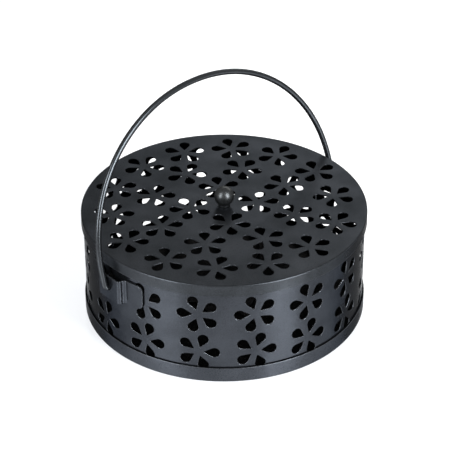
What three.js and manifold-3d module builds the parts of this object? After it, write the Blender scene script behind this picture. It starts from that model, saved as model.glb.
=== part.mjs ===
// Mosquito coil holder: a round box of painted sheet steel, pierced all over with five-petal flowers. A shallow
// tray carries the side wall, a lid with a folded skirt drops over the wall, and a wire handle swings in two
// hat-section brackets welded to the wall. A stamped stand on the tray's floor holds the coil.
//
// Millimetres, +Z up. The origin is the middle of the tray's underside, on the table, and +X runs along the
// handle's pivot axis. Angles round the box are azimuths from +X towards +Y.

import * as THREE from 'three';
import { mergeVertices } from 'three/addons/utils/BufferGeometryUtils.js';
import Module from 'manifold-3d';

const wasm = await Module();
wasm.setup();

// Sheet and fits
const sheet = 0.7; // steel sheet of the lid, wall and tray
const seatGap = 0.3; // gap kept between pieces that rest on or are welded to each other
const lidPlay = 0.3; // between the wall and the inside of the lid's skirt
const trayPlay = 0.3; // between the wall and the inside of the tray's rim
const overrun = 3; // how far a cutter runs past what it cuts

// Lid
const lidDiameter = 156; // across the fold
const lidTopHeight = 61.4; // top face above the table
const skirtHeight = 6.6;
const skirtFlare = 0.3; // how far the skirt's foot stands out past its fold
const foldInsideRadius = 0.3; // inside the fold between top and skirt

// Tray
const trayRimHeight = 8.9;
const trayInsideRadius = 0.3; // inside the corner between floor and rim

// Flower: five teardrop petals that point at its middle
const petalCount = 5;
const petalLength = 8.5;
const petalWidth = 5.9;
const petalTipDistance = 3; // from the flower's middle to the petal's point

// Flowers on the lid, in three rings. A turn is measured from straight outward.
const outerRingCount = 14;
const outerRingStart = 18.6;
const outerRingShares = [0.786, 0.784, 0.784, 0.787, 0.799, 0.778, 0.797]; // of the lid's radius
const outerRingTurns = [0, 20, 51, 0, 3, 36, 69];
const middleRingCount = 8;
const middleRingStart = 34.6;
const middleRingShare = 0.506; // of the lid's radius
const middleRingSway = 1.1; // neighbours lean this far from an even spacing, by turns
const middleRingTurn = 18;
const innerRingCount = 4;
const innerRingStart = 57.1;
const innerRingShare = 0.239; // of the lid's radius

// Flowers on the side wall, in columns of two
const columnCount = 16;
const columnStart = 15.5;
const lowerRowRise = 9.6; // middle of the lower flowers above the tray's rim
const upperRowDrop = 12.7; // middle of the upper flowers below the lid's skirt
const lowerRowTurn = 0; // a petal points right, seen from outside
const upperRowTurn = 180; // a petal points left, seen from outside
const seamGap = 0.4; // butt seam where the rolled wall meets itself, behind a bracket

// Handle brackets
const bracketDrop = 1.7; // top of the brackets below the lid's skirt
const bracketSheet = 0.9;
const bracketHeight = 16.8;
const bracketFaceWidth = 15.4; // flat outer face
const bracketStandoff = 4.6; // outer face out from the wall
const bracketWebSplay = 1.2; // each web's foot lies this much further out than its top
const bracketBendRadius = 1.5; // outside radius of the bends
const flangeSpan = 39.6; // tip to tip, across both flanges
const flangeCornerRadius = 3.2;
const flangeInset = 1; // degrees that the inside of a flange starts before its outside

// Handle
const wireDiameter = 2.8;
const wireBendRadius = 2.1; // to the wire's middle, where each end turns in to its bracket
const handlePlay = 0.6; // between a bracket's face and the wire's leg
const handleRise = 87.7; // middle of the wire's top above the pivot axis
const legTop = 7.3; // where the straight legs end and the arch starts, above the pivot axis
const archFullness = 2.05; // 2 is a true ellipse, more gives fuller shoulders
const handleLean = 15.8; // degrees towards +Y, as it stands at rest
const pegPlay = 0.3; // round the wire, in the bracket's hole
const pegReach = 2; // past the bracket's inner face

// Knob and its screw
const knobDiameter = 11;
const knobNeckDiameter = 4.6;
const knobFootDiameter = 7.2;
const knobFootHeight = 0.9;
const knobCentreHeight = 7.7; // ball's middle above the lid
const screwShankDiameter = 3;
const screwLength = 6; // under the head
const screwHeadDiameter = 6.4;
const screwHeadHeight = 1.9;
const screwPlay = 0.3;
const screwCrownAngle = 60; // how far the head's crown is rounded in from its side

// Coil stand
const standSheet = 0.8;
const standHubDiameter = 34;
const standArmRootDistance = 9; // from the middle to where an arm's root is buried in the hub
const standReach = 51.2; // from the middle to the outside of a prong
const standArmCount = 3;
const standTurn = 25.9; // azimuth of the first arm
const standArmRootWidth = 8;
const standArmTipWidth = 3.4;
const prongWidth = 2.6;
const prongHeight = 9.5; // above the stand's underside
const tongueWidth = 4.2;
const tongueShoulderHeight = 8.5;
const tongueHeight = 14;
const tonguePointWidth = 1.2;
const tongueSlotPlay = 0.4;

// Facets
const roundSteps = 48; // round the box, three to a column of flowers
const foldSteps = 2;
const insideFoldSteps = 1;
const petalArcSteps = 5;
const archSteps = 24;
const bendSteps = 3;
const wireSides = 8;
const pegHoleSteps = 12;
const knobSteps = 18;
const knobArcSteps = 6;
const screwSteps = 10;
const screwCrownSteps = 2;
const cornerSteps = 3;
const flangeSteps = 3;

// Sizes that follow
const lidRadius = lidDiameter / 2;
const lidUnderside = lidTopHeight - sheet;
const skirtBottom = lidTopHeight - skirtHeight;
const wallRadius = lidRadius - sheet - lidPlay;
const trayRadius = wallRadius + trayPlay + sheet;
const wallBottom = sheet + seatGap;
const lidFoldRadius = foldInsideRadius + sheet;
const foldCentreRadius = lidRadius - lidFoldRadius;
const wallIntoFold = Math.min(Math.max(wallRadius - foldCentreRadius, 0), foldInsideRadius);
const foldDrop = foldInsideRadius - Math.sqrt(foldInsideRadius ** 2 - wallIntoFold ** 2);
const wallTop = lidUnderside - foldDrop - seatGap;
const lowerRowHeight = trayRimHeight + lowerRowRise;
const upperRowHeight = skirtBottom - upperRowDrop;
const pivotHeight = skirtBottom - bracketDrop - bracketHeight / 2;
const bracketFaceRadius = wallRadius + bracketStandoff;
const pegHoleDiameter = wireDiameter + 2 * pegPlay;
const handleHalfSpan = bracketFaceRadius + handlePlay + wireDiameter / 2;

// Materials
const satinPaint = new THREE.MeshStandardMaterial({ color: 0x383b41, roughness: 0.46, metalness: 0.25 });
const gloss = new THREE.MeshStandardMaterial({ color: 0x2c2e32, roughness: 0.3, metalness: 0.35 });
const bareSteel = new THREE.MeshStandardMaterial({ color: 0x9a9c9e, roughness: 0.35, metalness: 0.9 });
const mattBlack = new THREE.MeshStandardMaterial({ color: 0x26272a, roughness: 0.7, metalness: 0.2 });

const radians = THREE.MathUtils.degToRad;
const point = (x, y) => new THREE.Vector2(x, y);

// Solids: a closed geometry as a body that can be joined and cut, and back again
function toSolid(geometry) {
  const bare = geometry.clone();
  bare.deleteAttribute('normal');
  bare.deleteAttribute('uv');
  const merged = mergeVertices(bare);
  const corners = merged.index.array;
  const triVerts = [];
  for (let i = 0; i < corners.length; i += 3) {
    const [a, b, c] = [corners[i], corners[i + 1], corners[i + 2]];
    if (a !== b && b !== c && c !== a) triVerts.push(a, b, c);
  }
  const vertProperties = new Float32Array(merged.attributes.position.array);
  return new wasm.Manifold(new wasm.Mesh({ numProp: 3, vertProperties, triVerts: new Uint32Array(triVerts) }));
}

function toGeometry(body) {
  const mesh = body.getMesh();
  const geometry = new THREE.BufferGeometry();
  geometry.setAttribute('position', new THREE.BufferAttribute(new Float32Array(mesh.vertProperties), 3));
  geometry.setIndex(new THREE.BufferAttribute(new Uint32Array(mesh.triVerts), 1));
  geometry.computeVertexNormals();
  return geometry;
}

function named(name, body, material) {
  const mesh = new THREE.Mesh(toGeometry(body), material);
  mesh.name = name;
  return mesh;
}

// A profile of (radius, height) points turned round Z, with its first facet corner at a given azimuth
function revolve(profile, steps, azimuth = 0) {
  const geometry = new THREE.LatheGeometry(profile, steps);
  geometry.rotateX(Math.PI / 2);
  geometry.rotateZ(radians(azimuth));
  return toSolid(geometry);
}

// A flat shape given depth along its own +Z and then placed
function slab(shape, depth, placement = new THREE.Matrix4()) {
  const geometry = new THREE.ExtrudeGeometry(shape, { depth, bevelEnabled: false, steps: 1 });
  geometry.applyMatrix4(placement);
  return toSolid(geometry);
}

// A round bar along +X between two places, at a height
function barAlongX(diameter, from, to, height) {
  const geometry = new THREE.CylinderGeometry(diameter / 2, diameter / 2, to - from, pegHoleSteps);
  geometry.rotateZ(Math.PI / 2);
  geometry.translate((from + to) / 2, 0, height);
  return toSolid(geometry);
}

// A round wire along a route of (x, z) points in the plane of X and Z, mitred at each point, with flat ends
function wireAlong(route, diameter) {
  const positions = [];
  const corners = [];
  const last = route.length - 1;
  route.forEach((here, i) => {
    const before = i > 0 ? here.clone().sub(route[i - 1]).normalize() : null;
    const after = i < last ? route[i + 1].clone().sub(here).normalize() : null;
    const onward = (before ?? after).clone().add(after ?? before).normalize();
    const mitre = 1 / onward.dot(before ?? after);
    for (let k = 0; k < wireSides; k += 1) {
      const angle = (2 * Math.PI * k) / wireSides;
      const inPlane = (diameter / 2) * Math.cos(angle) * mitre;
      const across = (diameter / 2) * Math.sin(angle);
      positions.push(here.x + onward.y * inPlane, across, here.y - onward.x * inPlane);
    }
  });
  for (let i = 0; i < last; i += 1) {
    for (let k = 0; k < wireSides; k += 1) {
      const [a, b] = [i * wireSides + k, i * wireSides + ((k + 1) % wireSides)];
      corners.push(a, b, a + wireSides, b, b + wireSides, a + wireSides);
    }
  }
  for (let k = 1; k < wireSides - 1; k += 1) {
    const end = last * wireSides;
    corners.push(0, k + 1, k, end, end + k, end + k + 1);
  }
  const geometry = new THREE.BufferGeometry();
  geometry.setAttribute('position', new THREE.Float32BufferAttribute(positions, 3));
  geometry.setIndex(corners);
  return toSolid(geometry);
}

// Points of an arc in a profile, from one angle to another
function arcPoints(x, y, radius, from, to, steps) {
  const points = [];
  for (let i = 0; i <= steps; i += 1) {
    const angle = radians(from + ((to - from) * i) / steps);
    points.push(point(x + radius * Math.cos(angle), y + radius * Math.sin(angle)));
  }
  return points;
}

// Frame that stands on the wall's round: X runs with the azimuth, Y up and Z outward
function onRound(azimuth, radius, height) {
  const a = radians(azimuth);
  const along = new THREE.Vector3(-Math.sin(a), Math.cos(a), 0);
  const up = new THREE.Vector3(0, 0, 1);
  const outward = new THREE.Vector3(Math.cos(a), Math.sin(a), 0);
  const frame = new THREE.Matrix4().makeBasis(along, up, outward);
  return frame.setPosition(outward.clone().multiplyScalar(radius).setZ(height));
}

// Petal: a round head with straight flanks down to a point, lying along +X from the flower's middle
function petalShape(middleX, middleY) {
  const headRadius = petalWidth / 2;
  const headDistance = petalLength - headRadius;
  const flankAngle = 90 + THREE.MathUtils.radToDeg(Math.asin(headRadius / headDistance));
  const headX = petalTipDistance + headDistance;
  const head = arcPoints(headX, 0, headRadius, -flankAngle, flankAngle, petalArcSteps);
  return new THREE.Shape([point(petalTipDistance, 0), ...head].map((p) => point(p.x - middleX, p.y - middleY)));
}

const petalMiddle = petalTipDistance + petalLength / 2;

// Petal cutters of one flower on the lid
function lidFlower(azimuth, distance, turn) {
  const cutters = [];
  for (let i = 0; i < petalCount; i += 1) {
    const placement = new THREE.Matrix4().makeRotationZ(radians(azimuth + turn + (i * 360) / petalCount));
    const a = radians(azimuth);
    placement.setPosition(distance * Math.cos(a), distance * Math.sin(a), lidUnderside - overrun);
    cutters.push(slab(petalShape(0, 0), sheet + 2 * overrun, placement));
  }
  return cutters;
}

// Petal cutters of one flower on the wall, each square to the wall where it lies, as punched before rolling
function wallFlower(azimuth, height, turn) {
  const cutters = [];
  for (let i = 0; i < petalCount; i += 1) {
    const direction = radians(turn + (i * 360) / petalCount);
    const along = (petalMiddle * Math.cos(direction)) / wallRadius;
    const placement = onRound(
      azimuth + THREE.MathUtils.radToDeg(along),
      wallRadius - sheet - overrun,
      height + petalMiddle * Math.sin(direction),
    );
    placement.multiply(new THREE.Matrix4().makeRotationZ(direction));
    cutters.push(slab(petalShape(petalMiddle, 0), sheet + 2 * overrun, placement));
  }
  return cutters;
}

// Lid: a flat top folded down into a skirt, pierced with the three rings of flowers
function makeLid() {
  const foldHeight = lidTopHeight - lidFoldRadius;
  const outside = arcPoints(foldCentreRadius, foldHeight, lidFoldRadius, 0, 90, foldSteps);
  const inside = arcPoints(foldCentreRadius, foldHeight, foldInsideRadius, 90, 0, insideFoldSteps);
  const profile = [
    point(0, lidUnderside),
    ...inside,
    point(lidRadius + skirtFlare - sheet, skirtBottom),
    point(lidRadius + skirtFlare, skirtBottom),
    ...outside,
    point(0, lidTopHeight),
  ];
  const blank = revolve(profile, roundSteps, columnStart);
  const cutters = [];
  for (let i = 0; i < outerRingCount; i += 1) {
    const azimuth = outerRingStart + (i * 360) / outerRingCount;
    const distance = lidRadius * outerRingShares[i % outerRingShares.length];
    cutters.push(...lidFlower(azimuth, distance, outerRingTurns[i % outerRingTurns.length]));
  }
  for (let i = 0; i < middleRingCount; i += 1) {
    const side = i % 2 === 0 ? -1 : 1;
    const azimuth = middleRingStart + (i * 360) / middleRingCount + side * middleRingSway;
    cutters.push(...lidFlower(azimuth, lidRadius * middleRingShare, side * middleRingTurn));
  }
  for (let i = 0; i < innerRingCount; i += 1) {
    cutters.push(...lidFlower(innerRingStart + (i * 360) / innerRingCount, lidRadius * innerRingShare, 0));
  }
  const holeRadius = screwShankDiameter / 2 + screwPlay;
  const screwHole = [
    point(0, lidUnderside - overrun),
    point(holeRadius, lidUnderside - overrun),
    point(holeRadius, lidTopHeight + overrun),
    point(0, lidTopHeight + overrun),
  ];
  cutters.push(revolve(screwHole, screwSteps));
  return blank.subtract(wasm.Manifold.union(cutters));
}

// Side wall: a rolled strip, pierced with columns of two flowers, its ends meeting behind the +X bracket
function makeWall() {
  const inside = wallRadius - sheet;
  const profile = [
    point(inside, wallTop),
    point(inside, wallBottom),
    point(wallRadius, wallBottom),
    point(wallRadius, wallTop),
    point(inside, wallTop),
  ];
  const ring = revolve(profile, roundSteps, columnStart);
  const cutters = [];
  for (let i = 0; i < columnCount; i += 1) {
    const azimuth = columnStart + (i * 360) / columnCount;
    cutters.push(...wallFlower(azimuth, lowerRowHeight, lowerRowTurn));
    cutters.push(...wallFlower(azimuth, upperRowHeight, upperRowTurn));
  }
  const seam = new THREE.BoxGeometry(seamGap, wallTop - wallBottom + 2 * overrun, sheet + 2 * overrun);
  const seamAzimuth = columnStart - 180 / columnCount;
  seam.applyMatrix4(onRound(seamAzimuth, wallRadius - sheet / 2, (wallTop + wallBottom) / 2));
  cutters.push(toSolid(seam));
  return ring.subtract(wasm.Manifold.union(cutters));
}

// Tray: a flat floor drawn up into a rim round the wall's foot
function makeTray() {
  const cornerRadius = trayInsideRadius + sheet;
  const centre = trayRadius - cornerRadius;
  const outside = arcPoints(centre, cornerRadius, cornerRadius, -90, 0, foldSteps);
  const inside = arcPoints(centre, cornerRadius, trayInsideRadius, 0, -90, insideFoldSteps);
  const profile = [
    point(0, 0),
    ...outside,
    point(trayRadius, trayRimHeight),
    point(trayRadius - sheet, trayRimHeight),
    ...inside,
    point(0, sheet),
  ];
  return revolve(profile, roundSteps, columnStart);
}

// Bracket on the +X side: a strip bent to a hat in plan, its flanges following the wall, its corners rounded
function makeBracket() {
  const flangeInside = wallRadius + seatGap;
  const flangeOutside = flangeInside + bracketSheet;
  const faceHalf = bracketFaceWidth / 2;
  const footHalf = faceHalf + bracketWebSplay;
  const flangeTip = THREE.MathUtils.radToDeg(Math.asin(flangeSpan / 2 / flangeOutside));
  const footAngle = THREE.MathUtils.radToDeg(Math.asin((footHalf + bracketBendRadius) / flangeOutside));
  const bend = bracketBendRadius;
  const insideBend = bracketBendRadius - bracketSheet;
  const faceX = bracketFaceRadius;
  const innerFaceX = faceX - bracketSheet;
  const outer = [
    ...arcPoints(0, 0, flangeOutside, flangeTip, footAngle, flangeSteps),
    point(flangeOutside + bend / 2, footHalf),
    ...arcPoints(faceX - bend, faceHalf - bend, bend, 90, 0, cornerSteps),
  ];
  const inner = [
    ...arcPoints(innerFaceX - insideBend, faceHalf - bracketSheet - insideBend, insideBend, 0, 90, cornerSteps),
    point(flangeInside + bend / 2, footHalf - bracketSheet),
    ...arcPoints(0, 0, flangeInside, footAngle - flangeInset, flangeTip, flangeSteps),
  ];
  const mirrored = (points) => points.map((p) => point(p.x, -p.y)).reverse();
  const plan = new THREE.Shape([...outer, ...mirrored(outer), ...mirrored(inner), ...inner]);
  const lift = new THREE.Matrix4().makeTranslation(0, 0, pivotHeight - bracketHeight / 2 - overrun);
  const hat = slab(plan, bracketHeight + 2 * overrun, lift);

  const halfSpan = flangeSpan / 2 + overrun;
  const halfHeight = bracketHeight / 2;
  const cornerY = flangeSpan / 2 - flangeCornerRadius;
  const cornerZ = halfHeight - flangeCornerRadius;
  const front = new THREE.Shape([
    ...arcPoints(cornerY, -cornerZ, flangeCornerRadius, -90, 0, cornerSteps),
    ...arcPoints(cornerY, cornerZ, flangeCornerRadius, 0, 90, cornerSteps),
    ...arcPoints(-cornerY, cornerZ, flangeCornerRadius, 90, 180, cornerSteps),
    ...arcPoints(-cornerY, -cornerZ, flangeCornerRadius, 180, 270, cornerSteps),
  ]);
  const window = slab(front, halfSpan, onRound(0, wallRadius - halfSpan / 2, pivotHeight));
  const pegHole = barAlongX(pegHoleDiameter, innerFaceX - overrun / 2, faceX + overrun, pivotHeight);
  return hat.intersect(window).subtract(pegHole);
}

// Handle, upright with its pivot axis on X: a wire bent to an arch, its two ends turned in as pegs
function makeHandle() {
  const pegEnd = bracketFaceRadius - bracketSheet - pegReach;
  const bend = arcPoints(handleHalfSpan - wireBendRadius, wireBendRadius, wireBendRadius, -90, 0, bendSteps);
  const half = [point(pegEnd, 0), ...bend];
  const arch = [];
  for (let i = 0; i <= archSteps; i += 1) {
    const angle = (Math.PI * i) / archSteps;
    const x = Math.sign(Math.cos(angle)) * Math.abs(Math.cos(angle)) ** (2 / archFullness);
    const z = Math.abs(Math.sin(angle)) ** (2 / archFullness);
    arch.push(point(handleHalfSpan * x, legTop + (handleRise - legTop) * z));
  }
  const otherHalf = half.map((p) => point(-p.x, p.y)).reverse();
  return wireAlong([...half, ...arch, ...otherHalf], wireDiameter);
}

// Knob: a ball on a waisted neck with a small foot, bored from below for its screw
function makeKnob() {
  const foot = lidTopHeight + seatGap;
  const ballRadius = knobDiameter / 2;
  const ballCentre = lidTopHeight + knobCentreHeight;
  const boreTop = lidTopHeight - sheet + screwLength;
  const neckAngle = THREE.MathUtils.radToDeg(Math.asin(knobNeckDiameter / 2 / ballRadius)) - 90;
  const boreRadius = screwShankDiameter / 2 + screwPlay;
  const profile = [
    point(0, boreTop + seatGap),
    point(boreRadius, boreTop + seatGap),
    point(boreRadius, foot),
    point(knobFootDiameter / 2, foot),
    point(knobFootDiameter / 2, foot + knobFootHeight),
    ...arcPoints(0, ballCentre, ballRadius, neckAngle, 90, knobArcSteps),
  ];
  profile[profile.length - 1].x = 0;
  return revolve(profile, knobSteps);
}

// Screw: a pan head under the lid and a shank up into the knob
function makeScrew() {
  const headTop = lidUnderside - seatGap;
  const headBottom = headTop - screwHeadHeight;
  const headRadius = screwHeadDiameter / 2;
  const crown = screwHeadHeight / 2;
  const shankTop = lidUnderside + screwLength;
  const profile = [
    point(0, headBottom),
    point(headRadius - crown, headBottom),
    ...arcPoints(headRadius - crown, headBottom + crown, crown, -screwCrownAngle, 0, screwCrownSteps),
    point(headRadius, headTop),
    point(screwShankDiameter / 2, headTop),
    point(screwShankDiameter / 2, shankTop),
    point(0, shankTop),
  ];
  return revolve(profile, screwSteps);
}

// An upright blade of the stand: straight sides up to a shoulder, then a taper to a narrow top
function blade(width, shoulder, height, topWidth) {
  return new THREE.Shape([
    point(-width / 2, 0),
    point(width / 2, 0),
    point(width / 2, shoulder),
    point(topWidth / 2, height),
    point(-topWidth / 2, height),
    point(-width / 2, shoulder),
  ]);
}

// Coil stand: a stamped hub with three arms turned up into prongs, and a pointed tongue turned up in the middle
function makeStand() {
  const floor = sheet + seatGap;
  const hub = new THREE.CylinderGeometry(standHubDiameter / 2, standHubDiameter / 2, standSheet, knobSteps);
  hub.rotateX(Math.PI / 2);
  hub.translate(0, 0, floor + standSheet / 2);
  let body = toSolid(hub);
  const slotLength = tongueHeight - standSheet;
  const slot = new THREE.BoxGeometry(slotLength, tongueWidth + 2 * tongueSlotPlay, standSheet + 2 * overrun);
  slot.translate(-slotLength / 2, 0, floor);
  for (let i = 0; i < standArmCount; i += 1) {
    const azimuth = standTurn + (i * 360) / standArmCount;
    const turned = new THREE.Matrix4().makeRotationZ(radians(azimuth));
    const arm = new THREE.Shape([
      point(standArmRootDistance, -standArmRootWidth / 2),
      point(standReach, -standArmTipWidth / 2),
      point(standReach, standArmTipWidth / 2),
      point(standArmRootDistance, standArmRootWidth / 2),
    ]);
    body = body.add(slab(arm, standSheet, turned.clone().setPosition(0, 0, floor)));
    const prong = blade(prongWidth, prongHeight - prongWidth / 2, prongHeight, prongWidth / 2);
    body = body.add(slab(prong, standSheet, onRound(azimuth, standReach - standSheet, floor)));
  }
  body = body.subtract(toSolid(slot));
  const tongue = blade(tongueWidth, tongueShoulderHeight, tongueHeight, tonguePointWidth);
  return body.add(slab(tongue, standSheet, onRound(0, 0, floor)));
}

// Assembly
const holder = new THREE.Group();

const box = new THREE.Group();
box.add(named('base_tray', makeTray(), satinPaint));
box.add(named('side_wall', makeWall(), satinPaint));
const bracket = makeBracket();
box.add(named('handle_bracket_right', bracket, satinPaint));
const leftBracket = named('handle_bracket_left', bracket, satinPaint);
leftBracket.rotation.z = Math.PI;
box.add(leftBracket);
holder.add(box);

const coverGroup = new THREE.Group();
coverGroup.add(named('lid', makeLid(), satinPaint));
coverGroup.add(named('lid_knob', makeKnob(), gloss));
coverGroup.add(named('knob_screw', makeScrew(), bareSteel));
holder.add(coverGroup);

const handle = named('handle', makeHandle(), satinPaint);
const handleGroup = new THREE.Group();
handleGroup.position.z = pivotHeight;
handleGroup.rotation.x = -radians(handleLean);
handleGroup.add(handle);
holder.add(handleGroup);

holder.add(named('coil_stand', makeStand(), mattBlack));

export default holder;
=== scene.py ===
import math

import bpy
import numpy as np
from mathutils import Matrix, Vector, geometry


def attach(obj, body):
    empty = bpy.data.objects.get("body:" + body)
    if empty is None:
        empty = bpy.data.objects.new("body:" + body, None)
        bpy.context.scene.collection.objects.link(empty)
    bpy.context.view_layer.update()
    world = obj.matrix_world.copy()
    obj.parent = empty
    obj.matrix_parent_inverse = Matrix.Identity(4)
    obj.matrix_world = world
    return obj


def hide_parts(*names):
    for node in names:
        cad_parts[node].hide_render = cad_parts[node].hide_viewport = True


# A pierced steel coil holder, dressed for looks
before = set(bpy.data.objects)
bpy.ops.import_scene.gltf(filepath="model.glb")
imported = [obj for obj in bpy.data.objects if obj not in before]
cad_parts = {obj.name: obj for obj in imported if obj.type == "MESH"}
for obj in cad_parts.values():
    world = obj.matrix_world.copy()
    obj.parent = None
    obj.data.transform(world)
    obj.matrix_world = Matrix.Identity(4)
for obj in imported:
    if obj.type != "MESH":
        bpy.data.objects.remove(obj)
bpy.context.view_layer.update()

# Sizes of the object are in millimetres and angles in degrees. The paint's relief, the floor, the camera
# and the lamps are in metres.
MM = 0.001

# Fineness of the meshes
ROUND = 256  # steps round the box
CORNER_STEPS = 5
EDGE_STEPS = 3  # steps in each rounded corner of a cut edge
FOLD_STEPS = 8
SAME_PLACE = 1e-6  # neighbouring points of a line that are closer are one point
PATTERN_MERGE = 1e-7  # points of a flat pattern that are closer are one point
ON_AXIS = 1e-9  # a smaller radius lies on the axis
STRAIGHT = 0.001  # a corner that turns less, in radians, isn't rounded
APART = 0.001  # keeps two neighbouring roundings from ending on the same point

# Sheet and fits
SHEET = 0.7
SEAT_GAP = 0.3
BLUNT = 0.16  # rounding of a cut edge on its front
BACK_BLUNT = 0.08
SHARP = 1.3  # a profile that turns faster, in radians per millimetre, gets the paler edge colour: thin paint and a painted highlight
BOX_MIDDLE = (0, 0, 30)  # faces turned towards it are the box's inside, which gets a painted shade

# Lid
LID_RADIUS = 78.0
LID_TOP = 61.4
FOLD_RADIUS = 0.8
SKIRT_BOTTOM = 54.8
FLARE = 0.2  # how far the corner of the skirt's lip stands out, before it is rounded
FLARE_RISE = 1.5
FLARE_BEND = 1.6
CURL = 0.03  # how far the flare has come out where its edge curls
CURL_RISE = 0.6
CURL_BEND = 0.3
SKIRT_LIP = 0.3
OUTER_RING = 14
OUTER_START = 18.6
# Places of the outer flowers as shares of the lid's radius, and their turns: both repeat round the ring
OUTER_SHARES = (0.786, 0.784, 0.784, 0.787, 0.799, 0.778, 0.797)
OUTER_TURNS = (0, 20, 51, 0, 3, 36, 69)
MIDDLE_RING = 8
MIDDLE_START = 34.6
MIDDLE_SHARE = 0.506
MIDDLE_SWAY = 1.1  # the middle flowers stand and turn one way and the other in turn
MIDDLE_TURN = 18
INNER_RING = 4
INNER_START = 57.1
INNER_SHARE = 0.239
SCREW_HOLE = 1.8  # radius
SCREW_HOLE_STEPS = 24

# Wall
WALL_RADIUS = 77.0
COLUMNS = 16
COLUMN_START = 15.5
LOWER_RISE = 9.6  # middle of the lower flowers above the tray's rim
UPPER_DROP = 12.7  # middle of the upper flowers below the skirt
SEAM = 0.4
WALL_ROWS = 24
FILL_GAP = 0.6  # between the wall's edges and the points that fill its face
FILL_STAGGER = 0.6  # height by which neighbouring columns of those points differ from even rows

# Tray
TRAY_RADIUS = 77.99
TRAY_RIM = 8.9
TRAY_CORNER = 1.0
TRAY_INSIDE = 0.3
TRAY_LIP = 0.3

# Flower
PETALS = 5
PETAL_LENGTH = 8.5
PETAL_WIDTH = 5.9
PETAL_TIP = 3.0  # distance of its tip from the flower's middle
TIP_RADIUS = 0.32
PETAL_STEPS = 20
TIP_STEPS = 5

# Brackets
PIVOT = 44.7
BRACKET_SHEET = 0.9
BRACKET_HEIGHT = 14.0
FACE_WIDTH = 17.2
FACE_REACH = 4.65  # from the wall's outside to the face's
FACE_RADIUS = WALL_RADIUS + FACE_REACH
SPLAY = 0.2  # how much the hat is wider at its foot than at its face, on each side
BEND = 1.65
FOOT_BEND = 1.8
FOOT_PLAY = 1.8  # degrees round the wall, kept free for the foot's bend
BEND_STEPS = 10
FLANGE_SPAN = 41.0
FLANGE_CORNER = 3.2
FLANGE_CLEAR = 0.2  # between a rounded corner and the first point of a straight edge
FLANGE_STEPS = 16
PEG_HOLE = 1.75  # radius
PEG_HOLE_STEPS = 32
PEG_HOLE_CLEAR_SHARE = 1.4  # of the hole's radius, kept free of points that fill the face
BRACKET_ROWS = 9

# Handle
WIRE = 1.6  # radius
WIRE_SIDES = 20
LEAN = 15.8
HANDLE_PLAY = 0.15
HANDLE_RISE = 87.43
LEG_TOP = 7.3
LEG_PARTS = 3  # points along each straight stretch
FULLNESS = 2.05  # 2 is an ellipse, and more is squarer
ARCH_STEPS = 160
WIRE_BEND = 2.1
WIRE_BEND_STEPS = 12
PEG_REACH = 2
PEG_BLUNT = 0.3
PEG_STEPS = 4

# Knob and screw
BALL_RADIUS = 5.49
BALL_RISE = 5.85  # its middle above the lid
BALL_STEPS = 40
NECK = 3.3
NECK_EDGE = 0.1
KNOB_ROUND = 64
SHANK = 1.5
SHANK_END = 0.3
SCREW_LENGTH = 6.2
HEAD_RADIUS = 3.2
HEAD_HEIGHT = 1.9
HEAD_EDGE = 1.0
HEAD_SEAT_EDGE = 0.1
SCREW_ROUND = 48
SMALL_STEPS = 6

# Coil stand
STAND_SHEET = 0.8
STAND_TOP = SHEET + SEAT_GAP + STAND_SHEET
STAND_BLUNT = 0.1
STAND_HUB = 17.0
HUB_STEPS = 24
HUB_TURN = 8  # from an arm's edge to where the hub's round edge begins
STAND_REACH = 51.2
STAND_START = 25.9
STAND_BEND = 0.8
STAND_FOLD = STAND_REACH - STAND_SHEET - STAND_BEND
ARMS = 3
ARM_ROOT = 9.0
ARM_ROOT_HALF = 4.0
ARM_ROOT_INSET = 0.3
ARM_ROOT_ROUND = 2.0
ARM_TIP_HALF = 1.7
ARM_STRAIGHT = 4.0  # from the hub's edge to the first point of an arm's straight side
ARM_STOP = 0.9  # from its last point to the fold
ARM_POINTS = 6
SHOULDER = 0.2  # from the end of an arm's side to the fold
PRONG_HALF = 1.3
PRONG_HEIGHT = 9.5
PRONG_START = 0.05  # from the fold to the first point of a prong's side
PRONG_CORNER = 0.3
PRONG_TIP = 0.4
PRONG_FOLD_HALF = 3.0  # half the width that is turned up at an arm's end
TONGUE_HALF = 2.1
TONGUE_BLANK = 12.06  # from the middle to its tip, laid flat
TONGUE_TAPER = 5.5
TONGUE_TIP_HALF = 0.6
TONGUE_TIP = 0.4
TONGUE_PLAY = 0.3  # past its tip, where the pattern still turns up
TONGUE_FOLD_HALF = 2.3
TONGUE_BENDS = (1.4, 1.1, 0.8, 0.5, 0.3, 0.0)  # points close together where the tongue bends
SLOT_END = 13.2
SLOT_HALF = 2.5
SLOT_CORNER = 0.5
SLOT_ROOT = 1.9
SLOT_ROOT_CORNER = 0.18
SLOT_STEPS = 4


# Outlines
def arc(x, y, radius, start, end, steps):
    """Points of an arc from one angle to another."""
    angles = np.radians(np.linspace(start, end, steps + 1))
    return [(x + radius * math.cos(a), y + radius * math.sin(a)) for a in angles]


def ring(x, y, radius, steps):
    """Points of a closed circle, anticlockwise."""
    return arc(x, y, radius, 0, 360, steps)[:-1]


def rounded(corners, closed=True, steps=CORNER_STEPS):
    """Points of a line through corners (x, y, radius), with each corner rounded to its radius."""
    points = []
    count = len(corners)
    for i, (x, y, radius) in enumerate(corners):
        here = np.array((x, y), float)
        if radius <= 0 or (not closed and i in (0, count - 1)):
            points.append((x, y))
            continue
        before = here - np.array(corners[i - 1][:2], float)
        after = np.array(corners[(i + 1) % count][:2], float) - here
        before /= np.linalg.norm(before)
        after /= np.linalg.norm(after)
        turn = math.atan2(before[0] * after[1] - before[1] * after[0], before @ after)
        if abs(turn) < STRAIGHT:
            points.append((x, y))
            continue
        side = math.copysign(1, turn)
        reach = radius * math.tan(abs(turn) / 2)
        left = np.array((-before[1], before[0])) * side
        centre = here - before * reach + left * radius
        start = math.atan2(-left[1], -left[0])
        for k in range(steps + 1):
            a = start + turn * k / steps
            points.append((centre[0] + radius * math.cos(a), centre[1] + radius * math.sin(a)))
    return points


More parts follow.
